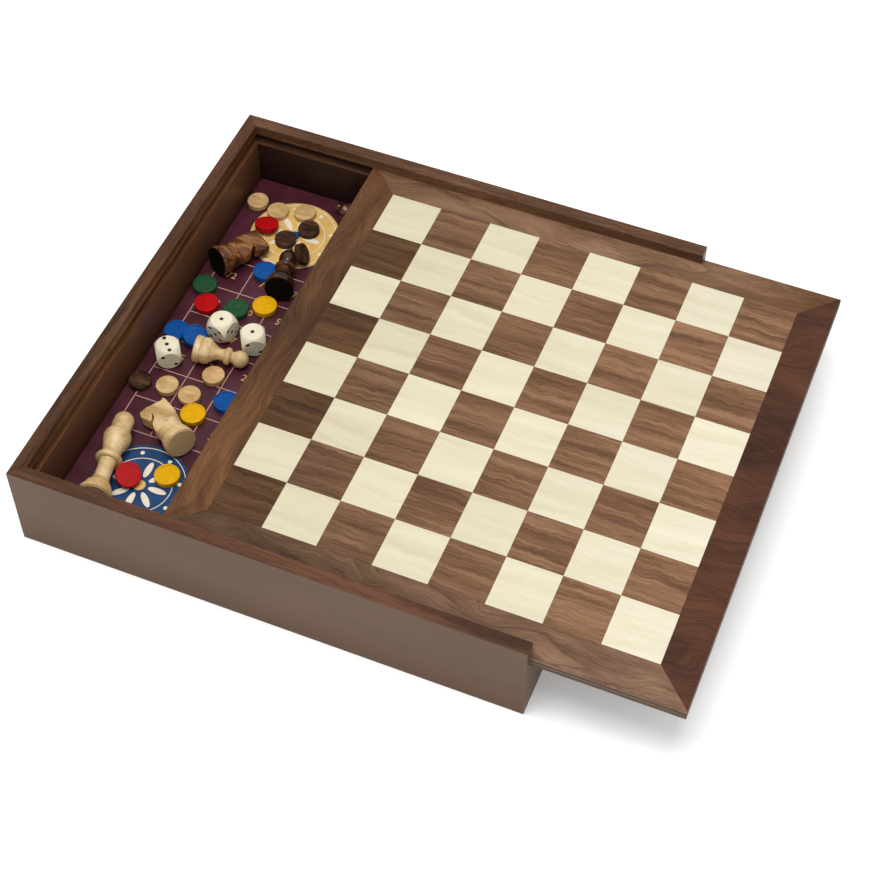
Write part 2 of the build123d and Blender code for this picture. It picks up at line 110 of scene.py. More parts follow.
class Grain(Enum):
    """Which way a board's grain runs, as the turn that lays its length along X."""

    ALONG_X = 0.0
    ALONG_Y = -90.0


MADE: dict["Finish", bpy.types.Material] = {}


@dataclass(frozen=True)
class Finish:
    """A surface finish. Each kind of finish lays its own nodes in pattern()."""

    name: str
    roughness: float

    def pattern(self, tree: bpy.types.NodeTree) -> dict[str, Any]:
        """Lay the nodes of the surface's pattern.

        Args:
            tree: the material's node tree.

        Returns:
            The shader's inputs.
        """
        raise NotImplementedError

    def material(self) -> bpy.types.Material:
        """Make the finish's material, or find it if it was made before.

        Returns:
            The material.
        """
        if self in MADE:
            return MADE[self]
        material = bpy.data.materials.new(f"finish_{self.name}")
        MADE[self] = material
        material.use_nodes = True
        tree = material.node_tree
        tree.nodes.clear()
        inputs = {"Roughness": self.roughness, **self.pattern(tree)}
        shader = add_node(tree, "ShaderNodeBsdfPrincipled", inputs)
        add_node(tree, "ShaderNodeOutputMaterial", {"Surface": shader.outputs["BSDF"]})
        return material

    def dress(self, piece: bpy.types.Object) -> None:
        """Give the finish to a piece, in place of what it had."""
        piece.data.materials.clear()
        piece.data.materials.append(self.material())


def noise(
    tree: bpy.types.NodeTree,
    place: bpy.types.NodeSocket,
    cell_mm: tuple[float, float, float],
    detail: float,
    distortion: float = 0.0,
) -> bpy.types.NodeSocket:
    """Soft noise of a real size.

    Args:
        tree: the node tree.
        place: the place in millimetres.
        cell_mm: the size of one patch along each axis.
        detail: the finer octaves.
        distortion: how far the patches swirl.

    Returns:
        The noise's value socket, about 0.5 on average.
    """
    scaled = add_node(
        tree, "ShaderNodeVectorMath", {0: place, 1: tuple(1 / size for size in cell_mm)}, operation="MULTIPLY"
    )
    texture = add_node(
        tree,
        "ShaderNodeTexNoise",
        {
            "Vector": scaled.outputs[0], "Scale": 1.0, "Detail": detail, "Roughness": 0.6,
            "Distortion": distortion,
        },
    )
    return texture.outputs[0]


def place_in_mm(tree: bpy.types.NodeTree) -> bpy.types.NodeSocket:
    """Lay the object's own axes over a piece.

    Args:
        tree: the node tree.

    Returns:
        The place in millimetres.
    """
    spot = add_node(tree, "ShaderNodeTexCoord").outputs["Object"]
    scaled = add_node(tree, "ShaderNodeVectorMath", {0: spot, 1: (1 / MM,) * 3}, operation="MULTIPLY")
    return scaled.outputs[0]


def grain_cell(size_mm: tuple[float, float]) -> tuple[float, float, float]:
    """A patch of grain, from its length along the grain and its width across it."""
    along, across = size_mm
    return (along, across, across)


def grained(
    tree: bpy.types.NodeTree,
    bands: bpy.types.NodeSocket,
    streaks: bpy.types.NodeSocket,
    share: float,
    colours: tuple[str, str, str],
    spread: float,
) -> bpy.types.NodeSocket:
    """Colour a wood by its growth bands, and by the finer streaks over them.

    Args:
        tree: the node tree.
        bands: the bands' noise.
        streaks: the streaks' noise.
        share: how much the streaks add to the bands.
        colours: its dark, middle and light colours.
        spread: how far the tone goes from its middle to reach the dark or the light colour.

    Returns:
        The wood's colour.
    """
    tone = add_node(tree, "ShaderNodeMath", {0: streaks, 1: share, 2: bands}, operation="MULTIPLY_ADD")
    tone = add_node(tree, "ShaderNodeMath", {0: tone.outputs[0], 1: 0.5 * share}, operation="SUBTRACT")
    places = (0.5 - spread, 0.5, 0.5 + spread)
    ramp = add_node(tree, "ShaderNodeValToRGB", {"Fac": tone.outputs[0]}, stops=tuple(zip(places, colours)))
    return ramp.outputs["Color"]


def toned(
    tree: bpy.types.NodeTree,
    colour: Any,
    guide: bpy.types.NodeSocket,
    guide_ends: tuple[float, float],
    tones: tuple[float, float],
) -> bpy.types.NodeSocket:
    """Darken and lighten a colour as a guide, such as a noise, goes up and down.

    Args:
        tree: the node tree.
        colour: the colour, or the socket that gives it.
        guide: the guide's value.
        guide_ends: the values of the guide that give the first and the last tone.
        tones: the first and the last tone, as factors.

    Returns:
        The changed colour.
    """
    (low, high), (first, last) = guide_ends, tones
    ends = {"Value": guide, "From Min": low, "From Max": high, "To Min": first, "To Max": last}
    tone = add_node(tree, "ShaderNodeMapRange", ends).outputs[0]
    return add_node(tree, "ShaderNodeHueSaturation", {"Value": tone, "Color": colour}).outputs[0]


@dataclass(frozen=True)
class Marquetry:
    """Square cells that are each cut from another place in the veneer and differ a little in tone."""

    corner_mm: tuple[float, float]
    side_mm: float
    spread: float


@dataclass(frozen=True)
class Fade:
    """A slow change along one axis: the tone from first to last, and the saturation from 1 to wash."""

    from_mm: float
    to_mm: float
    first: float
    last: float
    axis: str = "X"
    wash: float = 1.0

    def lay(self, tree: bpy.types.NodeTree, colour: bpy.types.NodeSocket) -> bpy.types.NodeSocket:
        """Lay the change over a colour.

        Args:
            tree: the node tree.
            colour: the colour.

        Returns:
            The changed colour.
        """
        spot = add_node(tree, "ShaderNodeTexCoord").outputs["Object"]
        along = add_node(tree, "ShaderNodeSeparateXYZ", {0: spot}).outputs[self.axis]
        ends = {"Value": along, "From Min": self.from_mm * MM, "From Max": self.to_mm * MM}
        tone = add_node(tree, "ShaderNodeMapRange", ends | {"To Min": self.first, "To Max": self.last})
        strength = add_node(tree, "ShaderNodeMapRange", ends | {"To Min": 1.0, "To Max": self.wash})
        return add_node(
            tree,
            "ShaderNodeHueSaturation",
            {"Saturation": strength.outputs[0], "Value": tone.outputs[0], "Color": colour},
        ).outputs[0]


@dataclass(frozen=True)
class Wood(Finish):
    """Planed and lacquered wood: soft growth bands, thin dark lines between them, and pores.

    Each size of the grain is given along it and across it.
    """

    dark: str
    mid: str
    light: str
    pore: str
    grain: Grain = Grain.ALONG_X
    band_mm: tuple[float, float] = (130.0, 9.0)
    band_share: float = 0.8
    line_mm: tuple[float, float] = (150.0, 11.0)
    line_share: float = 0.4
    swirl_mm: float = 8.0
    swirl_patch_mm: tuple[float, float] = (90.0, 30.0)
    ripple_mm: float = 0.8
    ripple_patch_mm: tuple[float, float] = (8.0, 16.0)
    streak_mm: tuple[float, float] = (26.0, 1.0)
    streak_share: float = 0.5
    # Open pores are about 0.2 mm wide, and are drawn three times that so that they show
    pore_mm: tuple[float, float] = (6.0, 0.6)
    pore_share: float = 0.3
    relief_mm: float = 0.1
    sheen_coat: float = 0.02
    specular: float = 0.14
    offset_mm: float = 0.0
    offset_shares: tuple[float, float, float] = (1.0, 0.7, 0.3)
    cells: Marquetry | None = None
    cell_jump_mm: float = 900.0
    fades: tuple[Fade, ...] = ()

    def place(self, tree: bpy.types.NodeTree) -> tuple[bpy.types.NodeSocket, bpy.types.NodeSocket | None]:
        """Lay the grain's own axes over the piece.

        Args:
            tree: the node tree.

        Returns:
            The place in millimetres, X along the grain, and each cell's own number if there are cells.
        """
        spot = add_node(tree, "ShaderNodeTexCoord").outputs["Object"]
        laid = add_node(
            tree,
            "ShaderNodeMapping",
            {
                "Vector": spot,
                "Scale": (1 / MM,) * 3,
                "Rotation": (0.0, 0.0, math.radians(self.grain.value)),
                "Location": tuple(self.offset_mm * share for share in self.offset_shares),
            },
        ).outputs[0]
        if self.cells is None:
            return laid, None
        side = self.cells.side_mm * MM
        corner_x, corner_y = self.cells.corner_mm
        cell = add_node(
            tree,
            "ShaderNodeVectorMath",
            {
                0: spot,
                1: (1 / side, 1 / side, 0.0),
                2: (-corner_x / self.cells.side_mm, -corner_y / self.cells.side_mm, 0.5),
            },
            operation="MULTIPLY_ADD",
        )
        whole = add_node(tree, "ShaderNodeVectorMath", {0: cell.outputs[0]}, operation="FLOOR")
        draw = add_node(tree, "ShaderNodeTexWhiteNoise", {"Vector": whole.outputs[0]}, noise_dimensions="3D")
        moved = add_node(
            tree,
            "ShaderNodeVectorMath",
            {0: draw.outputs["Color"], 1: (self.cell_jump_mm,) * 3, 2: laid},
            operation="MULTIPLY_ADD",
        )
        return moved.outputs[0], draw.outputs["Value"]

    def bent(self, tree: bpy.types.NodeTree, place: bpy.types.NodeSocket) -> bpy.types.NodeSocket:
        """Bend the grain: wide swirls, and the short ripples between them.

        Args:
            tree: the node tree.
            place: the place in millimetres, X along the grain.

        Returns:
            The place in the wood before it was bent.
        """
        swirl = noise(tree, place, grain_cell(self.swirl_patch_mm), 1.5)
        ripple = noise(tree, place, grain_cell(self.ripple_patch_mm), 2.0)
        reach = NOISE_STRETCH * self.swirl_mm
        shift = add_node(
            tree, "ShaderNodeMath", {0: swirl, 1: reach, 2: -reach / 2}, operation="MULTIPLY_ADD"
        )
        shift = add_node(
            tree,
            "ShaderNodeMath",
            {0: ripple, 1: NOISE_STRETCH * self.ripple_mm, 2: shift.outputs[0]},
            operation="MULTIPLY_ADD",
        )
        move = add_node(tree, "ShaderNodeCombineXYZ", {"Y": shift.outputs[0]})
        return add_node(tree, "ShaderNodeVectorMath", {0: place, 1: move.outputs[0]}).outputs[0]

    def ground(
        self, tree: bpy.types.NodeTree, wood: bpy.types.NodeSocket, streak: bpy.types.NodeSocket
    ) -> bpy.types.NodeSocket:
        """Lay the growth bands and the streaks.

        Args:
            tree: the node tree.
            wood: the place in the wood.
            streak: the streaks' noise.

        Returns:
            The colour of the wood between its lines and pores.
        """
        band = noise(tree, wood, grain_cell(self.band_mm), 3.0)
        calmed = add_node(
            tree,
            "ShaderNodeMath",
            {0: band, 1: self.band_share, 2: 0.5 - 0.5 * self.band_share},
            operation="MULTIPLY_ADD",
        ).outputs[0]
        colours = (self.dark, self.mid, self.light)
        return grained(tree, calmed, streak, self.streak_share, colours, spread=0.14)

    def growth_lines(self, tree: bpy.types.NodeTree, wood: bpy.types.NodeSocket) -> bpy.types.NodeSocket:
        """Draw a line where a slow noise passes its middle value, sharp on one side and soft on the other.

        Args:
            tree: the node tree.
            wood: the place in the wood.

        Returns:
            The lines, white on black.
        """
        contour = noise(tree, wood, grain_cell(self.line_mm), 1.0)
        return add_node(
            tree,
            "ShaderNodeValToRGB",
            {"Fac": contour},
            stops=((0.44, "#000000"), (0.497, "#bbbbbb"), (0.503, "#ffffff"), (0.512, "#000000")),
        ).outputs["Color"]

    def pattern(self, tree: bpy.types.NodeTree) -> dict[str, Any]:
        """Lay the bands, lines, streaks and pores, and the relief that they leave under the lacquer.

        Args:
            tree: the material's node tree.

        Returns:
            The shader's inputs.
        """
        place, lot = self.place(tree)
        wood = self.bent(tree, place)
        streak = noise(tree, wood, grain_cell(self.streak_mm), 4.0)
        fleck = noise(tree, wood, grain_cell(self.pore_mm), 2.0)
        pores = add_node(
            tree,
            "ShaderNodeMapRange",
            {"Value": fleck, "From Min": 0.55, "From Max": 0.7, "To Max": self.pore_share},
        ).outputs[0]
        marks = add_node(
            tree,
            "ShaderNodeMath",
            {0: self.growth_lines(tree, wood), 1: self.line_share, 2: pores},
            operation="MULTIPLY_ADD",
        )
        colour = add_node(
            tree,
            "ShaderNodeMix",
            {0: marks.outputs[0], 6: self.ground(tree, wood, streak), 7: linear(self.pore)},
            data_type="RGBA",
        ).outputs[2]
        if lot is not None:
            spread = self.cells.spread
            colour = toned(tree, colour, lot, (0.0, 1.0), (1 - spread, 1 + spread))
        for fade in self.fades:
            colour = fade.lay(tree, colour)
        relief = add_node(tree, "ShaderNodeMath", {0: streak, 1: pores}, operation="SUBTRACT")
        bump = add_node(
            tree,
            "ShaderNodeBump",
            {"Strength": 0.2, "Distance": self.relief_mm * MM, "Height": relief.outputs[0]},
        )
        return {
            "Base Color": colour,
            "Normal": bump.outputs[0],
            "Coat Weight": self.sheen_coat,
            "Coat Roughness": 0.3,
            "Specular IOR Level": self.specular,
        }


@dataclass(frozen=True)
class WallWood(Wood):
    """A wall's wood: figured on top, stained and filled smooth outside, and dark inside the box, where its
    stain also carries painted shade.
    """

    side: str = "#5c4636"
    inside: str = "#4a2f20"
    outer_fade: Fade = Fade(34.0, 6.0, first=1.0, last=0.86, axis="Z", wash=1.12)
    # Painted shade: the inside darkens towards the box's floor
    painted_inner_shade: Fade = Fade(18.0, 50.0, first=0.58, last=1.08, axis="Z")
    stain_top_mm: float = 50.0
    speckle_mm: float = 2.2
    cloud_mm: tuple[float, float, float] = (70.0, 70.0, 25.0)
    rubbing_mm: tuple[float, float, float] = (30.0, 30.0, 1.2)

    def inward(self, tree: bpy.types.NodeTree) -> bpy.types.NodeSocket:
        """Find the faces that look into the box: their normal points against their place.

        Args:
            tree: the node tree.

        Returns:
            1 on a face that looks towards the box's middle, and 0 on one that looks away.
        """
        spot = add_node(tree, "ShaderNodeTexCoord").outputs["Object"]
        flat = add_node(tree, "ShaderNodeVectorMath", {0: spot, 1: (1.0, 1.0, 0.0)}, operation="MULTIPLY")
        facing = add_node(tree, "ShaderNodeNewGeometry").outputs["Normal"]
        outward = add_node(
            tree, "ShaderNodeVectorMath", {0: facing, 1: flat.outputs[0]}, operation="DOT_PRODUCT"
        ).outputs["Value"]
        return add_node(
            tree, "ShaderNodeMapRange", {"Value": outward, "From Min": -0.02, "From Max": -0.06}
        ).outputs[0]

    def stain_outside(self, tree: bpy.types.NodeTree, place: bpy.types.NodeSocket) -> bpy.types.NodeSocket:
        """Lay the even stain of the outer faces: faintly speckled and clouded, and darker near the foot.

        Args:
            tree: the node tree.
            place: the place in millimetres.

        Returns:
            The stain's colour.
        """
        speckle = noise(tree, place, (self.speckle_mm,) * 3, 4.0)
        cloud = noise(tree, place, self.cloud_mm, 2.0)
        mixed = add_node(tree, "ShaderNodeMath", {0: speckle, 1: 0.5, 2: cloud}, operation="MULTIPLY_ADD")
        stain = toned(tree, linear(self.side), mixed.outputs[0], (0.5, 1.0), (0.9, 1.08))
        return self.outer_fade.lay(tree, stain)

    def stain_and_shade_inside(self, tree: bpy.types.NodeTree, place: bpy.types.NodeSocket) -> bpy.types.NodeSocket:
        """Lay the thin stain inside the box, rubbed on in long streaks, with painted shade that darkens it
        towards the floor.

        Args:
            tree: the node tree.
            place: the place in millimetres.

        Returns:
            The stain's colour.
        """
        streak = noise(tree, place, self.rubbing_mm, 4.0)
        stain = toned(tree, linear(self.inside), streak, (0.3, 0.7), (0.7, 1.3))
        return self.painted_inner_shade.lay(tree, stain)

    def pattern(self, tree: bpy.types.NodeTree) -> dict[str, Any]:
        """Lay the figured wood on the top and on the inner lip, and the stains over the upright faces.

        Args:
            tree: the material's node tree.

        Returns:
            The shader's inputs.
        """
        inputs = super().pattern(tree)
        place = place_in_mm(tree)
        inward = self.inward(tree)
        upright = add_node(
            tree,
            "ShaderNodeMix",
            {0: inward, 6: self.stain_outside(tree, place), 7: self.stain_and_shade_inside(tree, place)},
            data_type="RGBA",
        ).outputs[2]
        facing = add_node(tree, "ShaderNodeNewGeometry").outputs["Normal"]
        up = add_node(tree, "ShaderNodeSeparateXYZ", {0: facing}).outputs["Z"]
        top = add_node(tree, "ShaderNodeMapRange", {"Value": up, "From Min": 0.35, "From Max": 0.75})
        level = add_node(tree, "ShaderNodeSeparateXYZ", {0: place}).outputs["Z"]
        above = add_node(
            tree, "ShaderNodeMath", {0: level, 1: self.stain_top_mm}, operation="GREATER_THAN"
        )
        lip = add_node(tree, "ShaderNodeMath", {0: above.outputs[0], 1: inward}, operation="MULTIPLY")
        figured = add_node(
            tree, "ShaderNodeMath", {0: top.outputs[0], 1: lip.outputs[0]}, operation="MAXIMUM"
        )
        inputs["Base Color"] = add_node(
            tree,
            "ShaderNodeMix",
            {0: figured.outputs[0], 6: upright, 7: inputs["Base Color"]},
            data_type="RGBA",
        ).outputs[2]
        return inputs


@dataclass(frozen=True)
class Mottled(Finish):
    """One colour, broken by soft mottling and a fine relief, such as on plastic, paper, felt or card."""

    deep: str
    pale: str
    patch_mm: float
    relief_mm: float
    relief_patch_mm: float
    coat: float = 0.0
    nap: float = 0.0
    specular: float = 0.5
    glow: float = 0.0

    def pattern(self, tree: bpy.types.NodeTree) -> dict[str, Any]:
        """Lay the mottling and the relief.

        Args:
            tree: the material's node tree.

        Returns:
            The shader's inputs.
        """
        place = place_in_mm(tree)
        patches = noise(tree, place, (self.patch_mm,) * 3, 4.0)
        colour = add_node(
            tree, "ShaderNodeValToRGB", {"Fac": patches}, stops=((0.3, self.deep), (0.7, self.pale))
        )
        height = noise(tree, place, (self.relief_patch_mm,) * 3, 3.0)
        bump = add_node(
            tree, "ShaderNodeBump", {"Strength": 1.0, "Distance": self.relief_mm * MM, "Height": height}
        )
        return {
            "Base Color": colour.outputs["Color"],
            "Normal": bump.outputs[0],
            "Coat Weight": self.coat,
            "Coat Roughness": 0.15,
            "Sheen Weight": self.nap,
            "Specular IOR Level": self.specular,
            "Emission Color": linear("#ffffff"),
            "Emission Strength": self.glow,
        }


@dataclass(frozen=True)
class TurnedWood(Finish):
    """Turned wood: soft growth bands right through the block, fine streaks and a rubbed polish."""

    dark: str
    mid: str
    light: str
    band_mm: float
    coat: float
    specular: float = 0.3
    streak_mm: tuple[float, float] = (6.0, 0.8)
    streak_share: float = 0.35
    relief_mm: float = 0.08

    def pattern(self, tree: bpy.types.NodeTree) -> dict[str, Any]:
        """Lay the bands and the streaks.

        Args:
            tree: the material's node tree.

        Returns:
            The shader's inputs.
        """
        place = place_in_mm(tree)
        bands = noise(tree, place, grain_cell((self.band_mm * 3, self.band_mm)), 2.0, 0.8)
        streaks = noise(tree, place, grain_cell(self.streak_mm), 4.0)
        colours = (self.dark, self.mid, self.light)
        colour = grained(tree, bands, streaks, self.streak_share, colours, spread=0.18)
        bump = add_node(
            tree, "ShaderNodeBump", {"Strength": 0.3, "Distance": self.relief_mm * MM, "Height": streaks}
        )
        return {
            "Base Color": colour,
            "Normal": bump.outputs[0],
            "Coat Weight": self.coat,
            "Coat Roughness": 0.12,
            "Specular IOR Level": self.specular,
        }


@dataclass(frozen=True)
class Plywood(Finish):
    """The edge of a glued board: soft plies of two tones, and the thin pale lines where they meet."""

    deep: str
    pale: str
    glue: str
    low_mm: float
    high_mm: float
    wander_mm: tuple[float, float, float] = (40.0, 40.0, 4.0)
    fibre_mm: tuple[float, float, float] = (9.0, 9.0, 0.7)
    relief_mm: float = 0.05

    def pattern(self, tree: bpy.types.NodeTree) -> dict[str, Any]:
        """Lay the plies up the board's thickness.

        Args:
            tree: the material's node tree.

        Returns:
            The shader's inputs.
        """
        place = place_in_mm(tree)
        level = add_node(tree, "ShaderNodeSeparateXYZ", {0: place}).outputs["Z"]
        wander = noise(tree, place, self.wander_mm, 2.0)
        bent = add_node(
            tree, "ShaderNodeMath", {0: wander, 1: 0.5, 2: level}, operation="MULTIPLY_ADD"
        ).outputs[0]
        height = add_node(
            tree, "ShaderNodeMapRange", {"Value": bent, "From Min": self.low_mm, "From Max": self.high_mm}
        ).outputs[0]
        plies = add_node(
            tree,
            "ShaderNodeValToRGB",
            {"Fac": height},
            stops=(
                (0.0, self.deep), (0.1, self.glue), (0.17, self.deep), (0.5, self.pale), (0.62, self.glue),
                (0.68, self.pale), (0.9, self.deep),
            ),
        ).outputs["Color"]
        fibre = noise(tree, place, self.fibre_mm, 3.0)
        colour = toned(tree, plies, fibre, (0.3, 0.7), (0.8, 1.2))
        bump = add_node(
            tree, "ShaderNodeBump", {"Strength": 0.5, "Distance": self.relief_mm * MM, "Height": fibre}
        )
        return {"Base Color": colour, "Normal": bump.outputs[0], "Specular IOR Level": 0.2}


# ---------------------------------------------------------------------------
# Mesh tools
# ---------------------------------------------------------------------------


def mesh_object(name: str, shape: bmesh.types.BMesh) -> bpy.types.Object:
    """Turn a bmesh into an object of the scene.

    Args:
        name: the object's name.
        shape: its mesh, already in place. It is freed.

    Returns:
        The object.
    """
    mesh = bpy.data.meshes.new(name)
    shape.to_mesh(mesh)
    shape.free()
    thing = bpy.data.objects.new(name, mesh)
    bpy.context.scene.collection.objects.link(thing)
    return thing


def finished_piece(
    name: str, shape: bmesh.types.BMesh, finish: Finish, body: str
) -> bpy.types.Object:
    """Turn a bmesh into a finished piece of the object.

    Args:
        name: the piece's name.
        shape: its mesh, already in place. It is freed.
        finish: its finish.
        body: the CAD body that it rides on.

    Returns:
        The piece.
    """
    piece = mesh_object(name, shape)
    finish.dress(piece)
    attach(piece, body)
    return piece


def add_plate(shape: bmesh.types.BMesh, centre: Vector, size: Vector) -> None:
    """Add a thin rectangular plate.

    Args:
        shape: the bmesh that gets it.
        centre: the plate's centre.
        size: its length, width and thickness.
    """
    place = Matrix.Translation(centre) @ Matrix.Diagonal((*size, 1.0))
    bmesh.ops.create_cube(shape, size=1.0, matrix=place)


def add_disc(
    shape: bmesh.types.BMesh, centre: Vector, radius: float, thickness: float, stretch: float = 1.0,
    turn: float = 0.0, segments: int = 48,
) -> None:
    """Add a thin disc, or an oval one.

    Args:
        shape: the bmesh that gets it.
        centre: its centre.
        radius: its radius along its own X.
        thickness: its thickness.
        stretch: its radius along its own Y, as a share of the other.
        turn: its turn about Z, in radians.
        segments: the sides of its outline.
    """
    turned = Matrix.Translation(centre) @ Matrix.Rotation(turn, 4, "Z")
    place = turned @ Matrix.Diagonal((1.0, stretch, 1.0, 1.0))
    bmesh.ops.create_cone(
        shape, cap_ends=True, segments=segments, radius1=radius, radius2=radius, depth=thickness, matrix=place
    )


def add_ring(
    shape: bmesh.types.BMesh, centre: Vector, radius: float, width: float, thickness: float,
    segments: int = 72,
) -> None:
    """Add a thin flat ring, by spinning its section.

    Args:
        shape: the bmesh that gets it.
        centre: its centre.
        radius: its outer radius.
        width: the width of its band.
        thickness: its thickness.
        segments: the steps of the spin.
    """
    place = Matrix.Translation(centre + Vector((radius - width / 2, 0.0, 0.0)))
    stand = Matrix.Rotation(math.pi / 2, 4, "X")
    corners = bmesh.ops.create_grid(
        shape, x_segments=1, y_segments=1, size=0.5,
        matrix=place @ stand @ Matrix.Diagonal((width, thickness, 1.0, 1.0)),
    )["verts"]
    face = corners[0].link_faces[0]
    edges = list(face.edges)
    bmesh.ops.delete(shape, geom=[face], context="FACES_ONLY")
    bmesh.ops.spin(
        shape, geom=corners + edges, cent=centre, axis=(0.0, 0.0, 1.0), angle=2 * math.pi,
        steps=segments, use_merge=True,
    )


# ---------------------------------------------------------------------------
# The box
# ---------------------------------------------------------------------------


@dataclass(frozen=True)
class WallLook:
    """How one wall's wood is laid and stained. Its inside colour also carries the painted light and shade of
    that wall's inner face.
    """

    grain: Grain
    offset_mm: float
    dark: str
    mid: str
    light: str
    inside: str
    fades: tuple[Fade, ...] = ()


@dataclass
class BoxCase:
    """The box's walls and its base panel."""

    roughness: float = 0.42
    pore: str = "#22120c"
    swirl_mm: float = 2.0
    lip_mm: float = 8.0

    def wall_finish(self, name: str, look: WallLook) -> WallWood:
        """Stained and lacquered walnut-coloured wood: satin, with the figure showing along the top.

        Args:
            name: the finish's name.
            look: the wall's own wood and stain.

        Returns:
            The finish.
        """
        return WallWood(
            name, self.roughness, look.dark, look.mid, look.light, self.pore, grain=look.grain,
            offset_mm=look.offset_mm, swirl_mm=self.swirl_mm, inside=look.inside,
            stain_top_mm=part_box("border_front")[1].z / MM, fades=look.fades,
        )

    def build(self) -> list[str]:
        """Dress the walls and the base.

        Returns:
            The names of the pieces.
        """
        left, right = (corner.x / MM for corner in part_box("front_wall"))
        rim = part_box("left_wall")[1].z / MM
        front_fade = Fade(left, right, first=1.1, last=0.9)
        back_fade = Fade(left, right, first=1.14, last=0.86)
        # Painted light: the left wall's inner lip is lightened below its rim, standing in for a reflection
        # that brightens it there
        painted_lip_light = Fade(rim - self.lip_mm, rim, first=2.3, last=1.0, axis="Z")
        # The inside colours are painted light and shade: the left wall's inside is lighter, as if lit from
        # the right, and the back wall's is darker, as if in shade
        walls = {
            "front_wall": WallLook(
                Grain.ALONG_X, 0.0, "#3c2417", "#4e3120", "#63402c", "#4a2f20", (front_fade,)
            ),
            "back_wall": WallLook(
                Grain.ALONG_X, 310.0, "#432a1c", "#583b28", "#6c4c35", "#2e1b17", (back_fade,)
            ),
            "left_wall": WallLook(
                Grain.ALONG_Y, 620.0, "#341e10", "#482c1a", "#5a3c25", "#5e3d29", (painted_lip_light,)
            ),
            "right_wall": WallLook(Grain.ALONG_Y, 930.0, "#38211a", "#4a3024", "#5e4030", "#4a2f20"),
        }
        for node, look in walls.items():
            self.wall_finish(f"lacquered_walnut_{node}", look).dress(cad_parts[node])
        # Stained plywood: even brown, with the long soft streaks of a peeled veneer
        base = Wood("stained_plywood", 0.55, "#4a3222", "#5d412d", "#6f5039", "#2f1f14")
        base.dress(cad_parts["base_panel"])
        return [*walls, "base_panel"]


